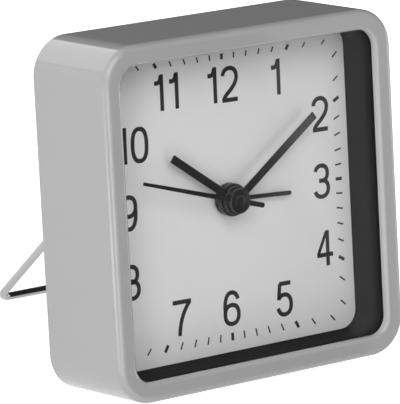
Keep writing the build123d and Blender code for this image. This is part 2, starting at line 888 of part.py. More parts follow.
# Tooth phases, each wheel set into the one before
seconds_phase = 0.0
intermediate_pinion_phase = meshed_phase(
    seconds_phase, seconds_teeth, intermediate_pinion_teeth, intermediate_angle
)
intermediate_phase = 0.0
rotor_phase = meshed_phase(intermediate_phase, intermediate_teeth, rotor_teeth, rotor_angle)
third_phase = meshed_phase(0, seconds_pinion_teeth, third_teeth, third_angle)
third_pinion_phase = 0.0
centre_phase = meshed_phase(third_pinion_phase, third_pinion_teeth, centre_teeth, third_angle + 180)
motion_phase = meshed_phase(0, cannon_teeth, motion_teeth, motion_angle)
motion_pinion_phase = 0.0
hour_phase = meshed_phase(motion_pinion_phase, motion_pinion_teeth, hour_teeth, motion_angle + 180)
setting_phase = meshed_phase(motion_phase, motion_teeth, setting_teeth, motion_angle)
alarm_stem_phase = meshed_phase(0, alarm_teeth, alarm_stem_teeth, alarm_angle)

nodes = {
    "case_shell": make_case_shell(),
    "lens": make_lens(),
    "dial_surround": make_dial_surround(),
    "dial": make_dial(),
    "alarm_hand": make_alarm_hand(),
    "hour_hand": make_hour_hand(),
    "minute_hand": make_minute_hand(),
    "second_hand": make_second_hand(),
    "movement_plate": make_movement_plate(),
    "movement_housing": make_movement_housing(),
    "coil_bobbin": make_coil_bobbin(),
    "coil_winding": make_coil_winding(),
    "stator": make_stator(),
    "rotor": make_rotor(rotor_phase),
    "intermediate_wheel": make_intermediate_wheel(intermediate_phase, intermediate_pinion_phase),
    "seconds_wheel": make_seconds_wheel(seconds_phase, 0),
    "third_wheel": make_third_wheel(third_phase, third_pinion_phase),
    "centre_wheel": make_centre_wheel(centre_phase),
    "minute_pipe": make_minute_pipe(0),
    "motion_wheel": make_motion_wheel(motion_phase, motion_pinion_phase),
    "hour_wheel": make_hour_wheel(hour_phase),
    "alarm_wheel": make_alarm_wheel(0),
    "time_stem": make_stem(setting_teeth, cannon_module, setting_phase, 4, time_at),
    "alarm_stem": make_stem(alarm_stem_teeth, alarm_module, alarm_stem_phase, 6, alarm_at),
    "time_knob": make_knob(time_at),
    "alarm_knob": make_knob(alarm_at),
    "circuit_board": make_circuit_board(),
    "quartz_crystal": make_quartz_crystal(),
    "control_chip": make_control_chip(),
    "alarm_contact": make_alarm_contact(),
    "buzzer": make_buzzer(),
    "battery": make_battery(),
    "positive_contact": make_contact(1),
    "negative_contact": make_contact(-1),
    "rear_cover": make_rear_cover(),
    "battery_door": make_battery_door(),
    "alarm_switch": make_alarm_switch(),
    "wire_stand": make_wire_stand(),
    "cover_screws": make_cover_screws(),
    "movement_screws": make_movement_screws(),
}

# Lean: the table touches the rear bottom edge and the foot of the wire
open_turn = math.radians(stand_open_angle)
foot_y = stand_hinge_height - stand_leg * math.cos(open_turn)
foot_z = hinge_z - stand_leg * math.sin(open_turn)
edge_y = -case_half + case_draft * rear_chamfer / case_depth
between_y = edge_y - foot_y
between_z = rear_chamfer - foot_z
between = math.hypot(between_y, between_z)
lean = math.degrees(math.atan2(between_z, between_y) - math.acos(-wire_radius / between))

# Stand the clock up and set the origin under the middle of its box
upright = Rot(90 - lean, 0, 0)
box = Compound(children=[upright * shape for shape in nodes.values()]).bounding_box()
place = Pos(0, -(box.min.Y + box.max.Y) / 2, -box.min.Z) * upright

os.makedirs("parts", exist_ok=True)
for name, shape in nodes.items():
    export_step(place * shape, f"parts/{name}.step")

print("lean", round(lean, 2), "case depth", case_depth, "box", box.size)
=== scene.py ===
# %% [markdown]
# # A square quartz alarm clock on a wire stand
# The imported model holds every solid of the clock at its real size and in its real place.
# This lesson dresses it: smooth shells where the eye rests, a printed dial, and a finish
# for every surface. Each new piece takes its place from the imported solids, so the model
# comes first.

# %% Load the imported model
import json
import math

import bpy
import numpy as np
from mathutils import Matrix, Vector


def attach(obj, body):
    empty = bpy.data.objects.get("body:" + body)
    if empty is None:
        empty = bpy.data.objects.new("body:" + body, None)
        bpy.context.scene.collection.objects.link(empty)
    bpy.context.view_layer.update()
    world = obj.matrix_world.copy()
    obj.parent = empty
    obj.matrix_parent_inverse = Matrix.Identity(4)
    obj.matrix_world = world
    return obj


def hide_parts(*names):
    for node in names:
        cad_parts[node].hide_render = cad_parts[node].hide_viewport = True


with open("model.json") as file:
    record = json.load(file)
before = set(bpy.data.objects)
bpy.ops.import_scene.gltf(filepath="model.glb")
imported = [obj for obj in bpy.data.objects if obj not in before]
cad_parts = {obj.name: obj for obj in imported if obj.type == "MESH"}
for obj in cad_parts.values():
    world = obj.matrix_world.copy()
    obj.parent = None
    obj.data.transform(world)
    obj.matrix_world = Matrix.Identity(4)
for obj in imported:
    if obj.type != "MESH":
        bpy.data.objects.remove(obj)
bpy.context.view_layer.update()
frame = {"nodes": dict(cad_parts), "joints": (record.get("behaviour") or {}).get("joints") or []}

# %% [markdown]
# The clock leans back on its stand, so its faces don't follow the room's axes. A second set
# of axes lies on the dial: right, up and out of the dial towards the reader, in millimetres
# from the centre of the hands. The joint of the second hand gives both the centre and the
# direction. Shapes are then written as on a drawing and seated in the room at the end.

# %% The dial's own axes
MM = 0.001
second_joint = next(joint for joint in frame["joints"] if joint["name"] == "second_turn")
dial_centre = np.array(second_joint["pos_m"])
right = np.array([1.0, 0.0, 0.0])
out = -np.array(second_joint["axis"])
up = np.cross(out, right)
dial_axes = np.stack([right, up, out])


def seat(points):
    """Dial millimetres to room metres: the centre plus each coordinate times its axis."""
    return dial_centre + MM * np.asarray(points, dtype=float) @ dial_axes


def reach(node):
    """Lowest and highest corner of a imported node, turned back into the dial's millimetres."""
    mesh = frame["nodes"][node].data
    flat = np.empty(3 * len(mesh.vertices))
    mesh.vertices.foreach_get("co", flat)
    local = (flat.reshape(-1, 3) - dial_centre) @ dial_axes.T / MM
    return local.min(axis=0), local.max(axis=0)


case_low, case_high = reach("case_shell")
print("case in dial millimetres", case_low.round(2), case_high.round(2))

# %% [markdown]
# The camera comes before any shape, because every later choice is judged through it. The
# photograph fits a long lens a little over a metre away, to the left and above, and rolled a
# little. Azimuth, elevation and roll are turned into three directions with numpy.

# %% The camera
AIM = np.array([-5.543, -0.259, 45.787]) * MM
AZIMUTH = math.radians(41.967)
ELEVATION = math.radians(30.153)
ROLL = math.radians(13.861)
DISTANCE = 1.12002
LENS = 396.44
SENSOR = 36.0
FARTHEST = 20.0

look = np.array(
    [
        math.sin(AZIMUTH) * math.cos(ELEVATION),
        math.cos(AZIMUTH) * math.cos(ELEVATION),
        -math.sin(ELEVATION),
    ]
)
level_right = np.array([math.cos(AZIMUTH), -math.sin(AZIMUTH), 0.0])
level_up = np.cross(level_right, look)
picture_right = math.cos(ROLL) * level_right + math.sin(ROLL) * level_up
picture_up = math.cos(ROLL) * level_up - math.sin(ROLL) * level_right

lens_data = bpy.data.cameras.new("camera")
lens_data.lens = LENS
lens_data.sensor_width = SENSOR
lens_data.clip_end = FARTHEST
camera = bpy.data.objects.new("camera", lens_data)
bpy.context.scene.collection.objects.link(camera)
turned_axes = np.eye(4)
turned_axes[:3, :3] = np.stack([picture_right, picture_up, -look], axis=1)
turned_axes[:3, 3] = AIM - DISTANCE * look
camera.matrix_world = Matrix(turned_axes.tolist())
bpy.context.scene.camera = camera
print("camera at", turned_axes[:3, 3].round(3))

# %% [markdown]
# Shaders read better as sums than as boxes and noodles. This small class wraps one socket:
# adding or multiplying two of them adds a Math node, and `node` adds any other node, with
# its settings first and its sockets after. A finish is then a few lines of arithmetic.

# %% Shader arithmetic


class Shade:
    """One shader value. Its operators add Math nodes and node() adds any other node."""

    def __init__(self, tree, socket=None):
        self.tree = tree
        self.socket = socket

    def node(self, kind, settings=None, sockets=None, output=0):
        """A new node: its settings, then the values or links of its sockets."""
        made = self.tree.nodes.new(kind)
        for name, setting in (settings or {}).items():
            setattr(made, name, setting)
        connect(made, sockets or {})
        return Shade(self.tree, made.outputs[output])

    def math(self, operation, first, second):
        """A Math node on two values."""
        return self.node("ShaderNodeMath", {"operation": operation}, {0: first, 1: second})

    def __add__(self, other):
        return self.math("ADD", self, other)

    def __radd__(self, other):
        return self.math("ADD", other, self)

    def __sub__(self, other):
        return self.math("SUBTRACT", self, other)

    def __rsub__(self, other):
        return self.math("SUBTRACT", other, self)

    def __mul__(self, other):
        return self.math("MULTIPLY", self, other)

    def __rmul__(self, other):
        return self.math("MULTIPLY", other, self)


def blank_finish(name):
    """A new material, its shader node and an empty value to start sums from."""
    material = bpy.data.materials.new(name)
    material.use_nodes = True
    tree = material.node_tree
    return material, tree.nodes["Principled BSDF"], Shade(tree)


def connect(node, sockets):
    """Sets or links the sockets of a node."""
    for name, value in sockets.items():
        if isinstance(value, Shade):
            value.tree.links.new(value.socket, node.inputs[name])
        else:
            node.inputs[name].default_value = value


def grey(level):
    """A neutral colour."""
    return (level, level, level, 1.0)


# %% [markdown]
# Moulded plastic is never quite even: the tool leaves a fine grain that catches the light,
# and the colour drifts a little from place to place. Both are noise on Object coordinates,
# so they stay with the piece. One function serves all the mouldings, with the grain's width
# in millimetres, and the case, the blacks and the wheels differ only in their numbers.

# %% Moulded plastics
TONE_SIZE = 14.0
NOISE_DETAIL = 3.0
GRAIN_ROUGHNESS = 0.08


def noise(shade, width):
    """Noise on Object coordinates whose lumps are about so many millimetres wide."""
    place = shade.node("ShaderNodeTexCoord", output="Object")
    return shade.node(
        "ShaderNodeTexNoise",
        sockets={"Vector": place, "Scale": 1 / (width * MM), "Detail": NOISE_DETAIL},
    )


def mixed(shade, factor, first, second):
    """Two colours mixed by a factor."""
    return shade.node(
        "ShaderNodeMix", {"data_type": "RGBA"}, {0: factor, 6: first, 7: second}, output=2
    )


def bumped(shade, height, depth):
    """A normal that follows a height, so many millimetres deep."""
    return shade.node(
        "ShaderNodeBump", sockets={"Height": height, "Distance": depth * MM, "Strength": 1.0}
    )


def moulding(name, dark, light, gloss, grain, depth, shine=0.5):
    """Plastic: tone from wide noise between two colours, roughness and bump from fine grain."""
    material, shader, shade = blank_finish(name)
    fine = noise(shade, grain)
    connect(
        shader,
        {
            "Base Color": mixed(shade, noise(shade, TONE_SIZE), dark, light),
            "Roughness": gloss + GRAIN_ROUGHNESS * fine,
            "Normal": bumped(shade, fine, depth),
            "Specular IOR Level": shine,
        },
    )
    return material


finishes = {
    "case_plastic": moulding("case_plastic", grey(0.345), grey(0.36), 0.05, 0.35, 0.0006),
    "black_plastic": moulding("black_plastic", grey(0.012), grey(0.016), 0.32, 0.3, 0.003),
    "movement_plastic": moulding("movement_plastic", grey(0.02), grey(0.028), 0.4, 0.4, 0.006),
    "wheel_plastic": moulding(
        "wheel_plastic", (0.74, 0.72, 0.64, 1.0), (0.8, 0.78, 0.7, 1.0), 0.35, 0.3, 0.002
    ),
    "board": moulding("board", (0.2, 0.12, 0.04, 1.0), (0.28, 0.18, 0.07, 1.0), 0.45, 0.25, 0.006),
    "resin": moulding("resin", grey(0.01), grey(0.014), 0.12, 1.2, 0.004),
    "dial_card": moulding("dial_card", grey(0.88), grey(0.9), 0.45, 0.25, 0.002, 0.3),
    "hand_black": moulding("hand_black", grey(0.025), grey(0.031), 0.12, 0.2, 0.001),
}
matt_black = moulding("matt_black", grey(0.012), grey(0.016), 0.8, 0.3, 0.0015, 0.1)
dial_ink = moulding("dial_ink", grey(0.022), grey(0.034), 0.5, 0.2, 0.001, 0.3)
print("mouldings", sorted(finishes))

# %% [markdown]
# Metal shows how it was made. Drawn wire and rolled strip carry fine lines along their
# length, cast and sintered pieces are mottled, and plating softens both. The lines are noise
# stretched along one axis by a Mapping node, and they move tone, roughness and a fine bump.

# %% Metals
LINE_DETAIL = 2.0
LINE_ROUGHNESS = 0.14


def metal(name, dark, light, gloss, grain, stretch, depth):
    """Metal: noise stretched by three factors moves tone, roughness and a shallow bump."""
    material, shader, shade = blank_finish(name)
    place = shade.node("ShaderNodeTexCoord", output="Object")
    drawn = shade.node("ShaderNodeMapping", sockets={"Vector": place, "Scale": stretch})
    lines = shade.node(
        "ShaderNodeTexNoise",
        sockets={"Vector": drawn, "Scale": 1 / (grain * MM), "Detail": LINE_DETAIL},
    )
    connect(
        shader,
        {
            "Base Color": mixed(shade, lines, dark, light),
            "Metallic": 1.0,
            "Roughness": gloss + LINE_ROUGHNESS * lines,
            "Normal": bumped(shade, lines, depth),
        },
    )
    return material


EVEN = (1.0, 1.0, 1.0)
ALONG_X = (0.05, 1.0, 1.0)
finishes |= {
    "magnet": metal("magnet", grey(0.1), grey(0.16), 0.45, 0.3, EVEN, 0.006),
    "copper": metal(
        "copper", (0.5, 0.2, 0.08, 1.0), (0.78, 0.36, 0.17, 1.0), 0.2, 0.2, ALONG_X, 0.02
    ),
    "iron": metal("iron", grey(0.4), grey(0.5), 0.3, 0.3, ALONG_X, 0.004),
    "bright_metal": metal("bright_metal", grey(0.62), grey(0.72), 0.12, 0.3, ALONG_X, 0.002),
    "brass_parts": metal(
        "brass_parts", (0.66, 0.47, 0.18, 1.0), (0.8, 0.6, 0.27, 1.0), 0.18, 0.3, ALONG_X, 0.003
    ),
    "cell": metal("cell", grey(0.16), grey(0.2), 0.25, 0.6, ALONG_X, 0.002),
    "steel_wire": metal("steel_wire", grey(0.3), grey(0.38), 0.14, 0.25, ALONG_X, 0.002),
    "screws": metal("screws", grey(0.4), grey(0.52), 0.22, 0.25, EVEN, 0.004),
}
print("finishes so far", len(finishes))

# %% [markdown]
# The window is clear acrylic. Real refraction would cost many samples and darken the dial,
# because light has to find its way in, so the pane is a mix: almost all Transparent, and a
# gloss that grows towards the edge of sight by Fresnel.

# %% Clear window
PANE_INDEX = 1.2
PANE_ROUGHNESS = 0.04
SMEAR_ROUGHNESS = 0.03


def clear_window(name):
    """Transparent and gloss mixed by Fresnel, so the pane lets lamps through."""
    material, shader, shade = blank_finish(name)
    glance = shade.node("ShaderNodeFresnel", sockets={"IOR": PANE_INDEX})
    rough = PANE_ROUGHNESS + SMEAR_ROUGHNESS * noise(shade, TONE_SIZE)
    gloss = shade.node("ShaderNodeBsdfGlossy", sockets={"Color": grey(1.0), "Roughness": rough})
    clear = shade.node("ShaderNodeBsdfTransparent", sockets={"Color": grey(1.0)})
    pane = shade.node("ShaderNodeMixShader", sockets={0: glance, 1: clear, 2: gloss})
    tree = material.node_tree
    tree.nodes.remove(shader)
    tree.links.new(pane.socket, tree.nodes["Material Output"].inputs["Surface"])
    return material


finishes["clear_lens"] = clear_window("clear_lens")
for node in frame["nodes"].values():
    for place in node.material_slots:
        slot_name = place.material.name.split(".")[0]
        place.material = finishes[slot_name]
print("dressed nodes", len(frame["nodes"]))

# %% [markdown]
# New pieces are grids of points. A profile is carried round a path, neighbouring rows and
# columns are joined by quads, and a direction that closes on itself is wrapped. These few
# helpers make every shell below; each takes whole arrays, so no point is placed by a loop.

# %% Surfaces from grids
CREASE = math.radians(38)


def grid_faces(rows, columns, closed_rows=False):
    """Quads between neighbours of a grid whose columns close on themselves."""
    row = np.arange(rows if closed_rows else rows - 1)[:, None]
    column = np.arange(columns)[None, :]
    row_after = (row + 1) % rows
    column_after = (column + 1) % columns
    corners = (
        row * columns + column,
        row * columns + column_after,
        row_after * columns + column_after,
        row_after * columns + column,
    )
    return np.stack(np.broadcast_arrays(*corners), axis=-1).reshape(-1, 4).tolist()


def capped_faces(rows, columns):
    """Quads along a tube, with a flat face over its first and its last ring."""
    first = list(range(columns))[::-1]
    last = list(range((rows - 1) * columns, rows * columns))
    return grid_faces(rows, columns) + [first, last]


def joined(shells):
    """Several shells as one: points stacked, face numbers moved on by the points before."""
    points = [shell.reshape(-1, 3) for shell, _ in shells]
    starts = np.cumsum([0] + [len(block) for block in points])
    faces = [
        [corner + int(start) for corner in face]
        for (_, shell_faces), start in zip(shells, starts)
        for face in shell_faces
    ]
    return np.concatenate(points), faces


def make_piece(name, shell, body, slot, stands_for=(), finish=None):
    """A mesh object from a shell in dial millimetres, riding on a body."""
    points, faces = shell
    mesh = bpy.data.meshes.new(name)
    mesh.from_pydata(seat(points.reshape(-1, 3)).tolist(), [], faces)
    mesh.shade_smooth()
    mesh.set_sharp_from_angle(angle=CREASE)
    mesh.materials.append(finish or finishes[slot])
    piece = bpy.data.objects.new(name, mesh)
    bpy.context.scene.collection.objects.link(piece)
    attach(piece, body)
    if stands_for:
        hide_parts(*stands_for)
    print(name, len(mesh.polygons), "faces")


# %% [markdown]
# The case is one moulded shell: square with generous corners, a soft front edge, a flat lip
# round the window and a step at the back for the cover. It could be a box with bevels, but
# bevels on a hollow box fight at the corners. Here a profile of the wall is carried round a
# rounded square: every point of the profile has its own half-width, corner radius and height.

# %% Rounded squares
CORNER_STEPS = 20
GUARD = 0.5
GUARD_SHARE = 0.04


def square_loops(half, corner, height):
    """One rounded square a row: quarter circles about (half - corner) on both axes.

    A guard point beside each end of a quarter keeps the flat sides flat when shaded."""
    sizes = (half, corner, height)
    half, corner, height = (np.asarray(size, dtype=float)[:, None, None] for size in sizes)
    quarter = np.arange(4)[:, None] * np.pi / 2
    angle = quarter + np.linspace(0, np.pi / 2, CORNER_STEPS + 1)
    side_x = math.sqrt(2) * np.cos(quarter + np.pi / 4)
    side_y = math.sqrt(2) * np.sin(quarter + np.pi / 4)
    x = (half - corner) * side_x + corner * np.cos(angle)
    y = (half - corner) * side_y + corner * np.sin(angle)
    guard = np.minimum(GUARD, (half - corner) / 4)
    before_x = x[..., :1] + guard * np.sin(quarter)
    before_y = y[..., :1] - guard * np.cos(quarter)
    after_x = x[..., -1:] - guard * np.cos(quarter)
    after_y = y[..., -1:] - guard * np.sin(quarter)
    x = np.concatenate([before_x, x, after_x], axis=-1)
    y = np.concatenate([before_y, y, after_y], axis=-1)
    points = np.stack(np.broadcast_arrays(x, y, height), axis=-1)
    return points.reshape(len(points), -1, 3)


def arc(middle, radius, start, end, steps):
    """Points on a circle from one angle to another, in degrees."""
    angle = np.radians(np.linspace(start, end, steps + 1))
    return np.asarray(middle) + radius * np.stack([np.cos(angle), np.sin(angle)], axis=-1)


def straight(start, end):
    """Two points just inside the ends of a line, so that rounds beside it don't bend it."""
    start, end = np.asarray(start, dtype=float), np.asarray(end, dtype=float)
    share = np.array([GUARD_SHARE, 1 - GUARD_SHARE])[:, None]
    return start + share * (end - start)


# %% The case's wall profile
case_half = case_high[0]
case_front = case_high[2]
case_back = case_low[2]
DRAFT = 0.3
CASE_CORNER = 10.0
FRONT_ROUND = 1.8
FRONT_STEPS = 14
FRONT_LIP = 5.5
OPENING_CORNER = 4.8
OPENING_ROUND = 1.2
OPENING_STEPS = 8
CASE_WALL = 2.6
REBATE_STEP = 1.2
COVER_THICKNESS = 1.8
REAR_EDGE = 0.4
LENS_FRONT = reach("lens")[1][2]

opening_half = case_half - FRONT_LIP
pocket_half = case_half - CASE_WALL
rebate_half = pocket_half + REBATE_STEP
front_half = case_half - DRAFT
edge_middle = (front_half - FRONT_ROUND, case_front - FRONT_ROUND)
lip_middle = (opening_half + OPENING_ROUND, case_front - OPENING_ROUND)
cover_seat = case_back + COVER_THICKNESS

outer_wall = straight((case_half, case_back + REAR_EDGE), (front_half, edge_middle[1]))
front_edge = arc(edge_middle, FRONT_ROUND, 0, 90, FRONT_STEPS)
lip_edge = arc(lip_middle, OPENING_ROUND, 90, 180, OPENING_STEPS)
inside = np.array(
    [
        (opening_half, LENS_FRONT),
        (pocket_half - DRAFT, LENS_FRONT),
        (pocket_half, cover_seat),
        (rebate_half, cover_seat),
        (rebate_half, case_back),
        (case_half - REAR_EDGE, case_back),
        (case_half, case_back + REAR_EDGE),
    ]
)
front_flat = straight(front_edge[-1], lip_edge[0])
lip_wall = straight(lip_edge[-1], inside[0])
profile = np.concatenate([outer_wall, front_edge, front_flat, lip_edge, lip_wall, inside])
half, height = profile.T
outer_corner = CASE_CORNER - (case_half - half)
lip_corner = OPENING_CORNER + (half - opening_half)
blend = np.clip((half - lip_middle[0]) / (edge_middle[0] - lip_middle[0]), 0, 1)
corner = blend * outer_corner + (1 - blend) * lip_corner
case_points = square_loops(half, corner, height)
case_faces = grid_faces(*case_points.shape[:2], closed_rows=True)
make_piece("case_skin", (case_points, case_faces), "case", "case_plastic", ["case_shell"])

# %% [markdown]
# Behind the window sits a deep black frame that hides the gap between the case and the dial.
# Its floor carries the dial and four screw posts stand on its back. The same rounded squares
# make walls and floor in one closed profile, and the posts are turned shapes.

# %% Turned shapes
AROUND = 64


def turned(radius, height, at=(0.0, 0.0), closed=False, around=AROUND):
    """A profile carried round an upright axis: every row is a circle at its own height."""
    angle = np.linspace(0, 2 * np.pi, around, endpoint=False)
    radius = np.asarray(radius, dtype=float)[:, None]
    height = np.asarray(height, dtype=float)[:, None]
    x = at[0] + radius * np.cos(angle)
    y = at[1] + radius * np.sin(angle)
    points = np.stack(np.broadcast_arrays(x, y, height), axis=-1)
    faces = grid_faces(len(radius), around, True) if closed else capped_faces(len(radius), around)
    return points, faces


# %% The black surround
surround_low, surround_high = reach("dial_surround")
dial_back = reach("dial")[0][2]
SEAT_THICKNESS = 1.0
SURROUND_PLAY = 0.2
HOLE = 3.75
NEARLY_ROUND = 0.02
POST_INSET = 4.4
POST_RADIUS = 2.6
POST_BORE = 0.95
POST_AROUND = 24
RIM_ROUND = 0.15

floor_back = dial_back - SEAT_THICKNESS
surround_half = surround_high[0]
surround_corner = CASE_CORNER - CASE_WALL - DRAFT - SURROUND_PLAY
ring = np.array(
    [
        (surround_half, surround_corner, floor_back),
        (surround_half, surround_corner, surround_high[2]),
        (opening_half + RIM_ROUND, OPENING_CORNER + RIM_ROUND, surround_high[2]),
        (opening_half, OPENING_CORNER, surround_high[2] - RIM_ROUND),
        (opening_half, OPENING_CORNER, dial_back),
        (HOLE, HOLE - NEARLY_ROUND, dial_back),
        (HOLE, HOLE - NEARLY_ROUND, floor_back),
    ]
)
ring_points = square_loops(*ring.T)
shells = [(ring_points, grid_faces(*ring_points.shape[:2], closed_rows=True))]
post_at = pocket_half - POST_INSET
post_wall = [POST_RADIUS, POST_RADIUS, POST_BORE, POST_BORE]
post_ends = [surround_low[2], floor_back, floor_back, surround_low[2]]
for x in (-post_at, post_at):
    for y in (-post_at, post_at):
        shells.append(turned(post_wall, post_ends, (x, y), closed=True, around=POST_AROUND))
make_piece("surround_skin", joined(shells), "case", "black_plastic", ["dial_surround"], matt_black)

# %% [markdown]
# The dial is printed: sixty strokes on a square track, heavier at the hours, and twelve
# upright numerals. A stroke is a flat ribbon of even width along a path, so a numeral is a
# few arcs and lines, as a sign writer draws it. The print stands a hair above the dial so
# that it never flickers into it. The whole print sits a little turned in the case.

# %% Ribbons
INK = 0.03
CURVE_STEPS = 14
dial_front = reach("dial")[1][2]


def ribbon(path, width, closed=False):
    """A path moved half a width to both sides along its normals, as a thin raised strip."""
    path = np.asarray(path, dtype=float)
    if closed:
        ahead = np.roll(path, -1, axis=0) - np.roll(path, 1, axis=0)
    else:
        ahead = np.gradient(path, axis=0)
    ahead /= np.linalg.norm(ahead, axis=1, keepdims=True)
    aside = np.stack([ahead[:, 1], -ahead[:, 0]], axis=-1) * width / 2
    sides = np.stack([path + aside, path + aside, path - aside, path - aside], axis=1)
    height = np.broadcast_to([INK, 0.0, 0.0, INK], sides.shape[:2]) + dial_front
    points = np.concatenate([sides, height[..., None]], axis=-1)
    rows = len(path)
    return points, (grid_faces(rows, 4, True) if closed else capped_faces(rows, 4))


def line(start, end):
    """A straight path."""
    return np.array([start, end], dtype=float)


def oval(middle, reach_x, reach_y, start, end, square=2.0, steps=28):
    """A path round an oval between two angles; a higher power squares its shoulders."""
    angle = np.radians(np.linspace(start, end, steps + 1))
    turn_x, turn_y = np.cos(angle), np.sin(angle)
    x = middle[0] + reach_x * np.sign(turn_x) * np.abs(turn_x) ** (2 / square)
    y = middle[1] + reach_y * np.sign(turn_y) * np.abs(turn_y) ** (2 / square)
    return np.stack([x, y], axis=-1)


def curve(start, pull, end):
    """A path bent once: the square of what is left, twice the product, the square of the way."""
    way = np.linspace(0, 1, CURVE_STEPS + 1)[:, None]
    start, pull, end = (np.asarray(point, dtype=float) for point in (start, pull, end))
    return (1 - way) ** 2 * start + 2 * way * (1 - way) * pull + way**2 * end


# %% The numerals
NUMERAL_HEIGHT = 8.05
NUMERAL_WIDTH = 4.25
NUMERAL_STROKE = 1.12
THIN_STROKE = 0.9
FULL = 1 + NUMERAL_STROKE / NUMERAL_HEIGHT

full_oval = oval((0, 0), 1, 1, 0, 360, 2.5, 48)[:-1]
low_bowl = oval((0, -0.4), 1, 0.6, 0, 360, 2.3, 40)[:-1]
one_flag = [line((-0.75, 0.62), (-0.4, 0.62)), curve((-0.3, 0.62), (0.1, 0.66), (0.2, 1.05))]
two_neck = [
    oval((0, 0.45), 1, 0.55, 172, 0, 2.2),
    curve((1, 0.42), (0.98, 0.05), (0.1, -0.38)),
    curve((0.05, -0.41), (-0.88, -0.78), (-0.93, -1.0)),
]
six_stem = [oval((0, 0.4), 0.95, 0.6, 12, 90, 2.2, 12), oval((0, 0), 1, 1, 92, 190, 2.3)]
digit_paths = {
    "0": [(full_oval, True)],
    "1": [
        (line((0.3, -FULL), (0.3, FULL)), False),
        (np.concatenate(one_flag), False),
    ],
    "2": [
        (np.concatenate(two_neck), False),
        (line((-1.15, -1.0), (1.12, -1.0)), False),
    ],
    "3": [
        (oval((0, 0.5), 0.92, 0.5, 165, -82, 2.2), False),
        (oval((0, -0.47), 1, 0.53, 82, -165, 2.2), False),
        (line((-0.35, 0.03), (0.15, 0.03)), False),
    ],
    "4": [
        (line((0.4, -FULL), (0.4, FULL)), False),
        (line((0.24, 1.06), (-1.06, -0.38)), False, THIN_STROKE),
        (line((-1.22, -0.42), (1.2, -0.42)), False),
    ],
    "5": [
        (line((-0.72, 1.0), (1.0, 1.0)), False),
        (line((-0.62, 1.0), (-0.85, -0.02)), False),
        (oval((0, -0.36), 1, 0.64, 146, -165, 2.2), False),
    ],
    "6": [
        (low_bowl, True),
        (np.concatenate(six_stem), False),
    ],
    "7": [
        (line((-1.3, 1.0), (1.38, 1.0)), False),
        (curve((1.22, 1.0), (-0.3, 0.1), (-0.42, -FULL)), False),
    ],
    "8": [
        (oval((0, 0.5), 0.86, 0.5, 0, 360, 2.2, 40)[:-1], True),
        (oval((0, -0.46), 1, 0.54, 0, 360, 2.2, 40)[:-1], True),
    ],
}
digit_paths["9"] = [(-path, closed) for path, closed in digit_paths["6"]]


def numeral(digit, middle):
    """The ribbons of one digit about its middle."""
    scale = np.array([NUMERAL_WIDTH / 2, NUMERAL_HEIGHT / 2])
    shells = []
    for path, closed, *width in digit_paths[digit]:
        shells.append(ribbon(path * scale + middle, *(width or [NUMERAL_STROKE]), closed))
    return shells


digit_places = [
    ("1", (-3.0, 28.8)),
    ("2", (2.2, 28.6)),
    ("1", (17.0, 28.6)),
    ("2", (30.5, 17.5)),
    ("3", (30.2, 0.1)),
    ("4", (30.55, -17.4)),
    ("5", (16.85, -28.6)),
    ("6", (0.1, -28.5)),
    ("7", (-15.5, -28.6)),
    ("8", (-30.5, -17.5)),
    ("9", (-30.5, 0.0)),
    ("1", (-31.4, 16.9)),
    ("0", (-26.3, 16.7)),
    ("1", (-19.5, 28.9)),
    ("1", (-14.9, 28.9)),
]
print_shells = [shell for digit, place in digit_places for shell in numeral(digit, place)]
print("numeral strokes", len(print_shells))

# %% The minute track
TRACK = 35.8
SIDE_TICK = 2.0
TOP_TICK = 1.45
TICK_WIDTH = 0.42
HOUR_TICK_WIDTH = 0.85
DIAL_TURN = 0.83
PRINT_SHIFT = (0.1, 0.34)
MINUTES = 60
HOUR_EVERY = 5


def clockwise(degrees):
    """The matrix that turns rows of points clockwise, as the reader sees them."""
    cosine, sine = math.cos(math.radians(degrees)), math.sin(math.radians(degrees))
    return np.array([[cosine, -sine, 0], [sine, cosine, 0], [0, 0, 1]])


for minute in range(MINUTES):
    angle = minute * 2 * np.pi / MINUTES
    ray = np.array([math.sin(angle), math.cos(angle)])
    middle = ray * TRACK / np.abs(ray).max()
    width = TICK_WIDTH if minute % HOUR_EVERY else HOUR_TICK_WIDTH
    length = TOP_TICK if ray[1] > abs(ray[0]) else SIDE_TICK
    ends = line(middle - ray * length / 2, middle + ray * length / 2)
    print_shells.append(ribbon(ends, width))
print_points, print_faces = joined(print_shells)
print_points = print_points @ clockwise(DIAL_TURN) + (*PRINT_SHIFT, 0)
make_piece("dial_print", (print_points, print_faces), "case", "hand_black", finish=dial_ink)

# %% [markdown]
# The hands are stamped from thin sheet and painted black: a flat blade on a round hub. The
# blade is an outline with softened corners given a thickness, its edges drawn in a little at
# both faces, as a punch leaves them. The hubs sit one inside the other up the centre, and the
# second hand wears a closed cap.

# %% Blades
EDGE = 0.06
HUB_ROUND = 0.3
HUB_STEPS = 6
STEP_STEPS = 4


def softened(corners, radii, steps=6, closed=True):
    """Corners swapped for true arcs: a rational curve whose weight is half the angle's sine."""
    corners = np.asarray(corners, dtype=float)
    before = np.roll(corners, 1, axis=0) - corners
    after = np.roll(corners, -1, axis=0) - corners
    before /= np.linalg.norm(before, axis=1, keepdims=True)
    after /= np.linalg.norm(after, axis=1, keepdims=True)
    half_angle = np.arccos(np.clip((before * after).sum(axis=1), -1, 1)) / 2
    length = np.asarray(radii, dtype=float) / np.tan(half_angle)
    weight = np.sin(half_angle)[:, None, None]
    way = np.linspace(0, 1, steps + 1)[None, :, None]
    start = (corners + before * length[:, None])[:, None]
    end = (corners + after * length[:, None])[:, None]
    shares = (1 - way) ** 2, 2 * weight * way * (1 - way), way**2
    bend = (shares[0] * start + shares[1] * corners[:, None] + shares[2] * end) / sum(shares)
    if closed:
        return bend.reshape(-1, corners.shape[1])
    return np.concatenate([corners[:1], bend[1:-1].reshape(-1, corners.shape[1]), corners[-1:]])


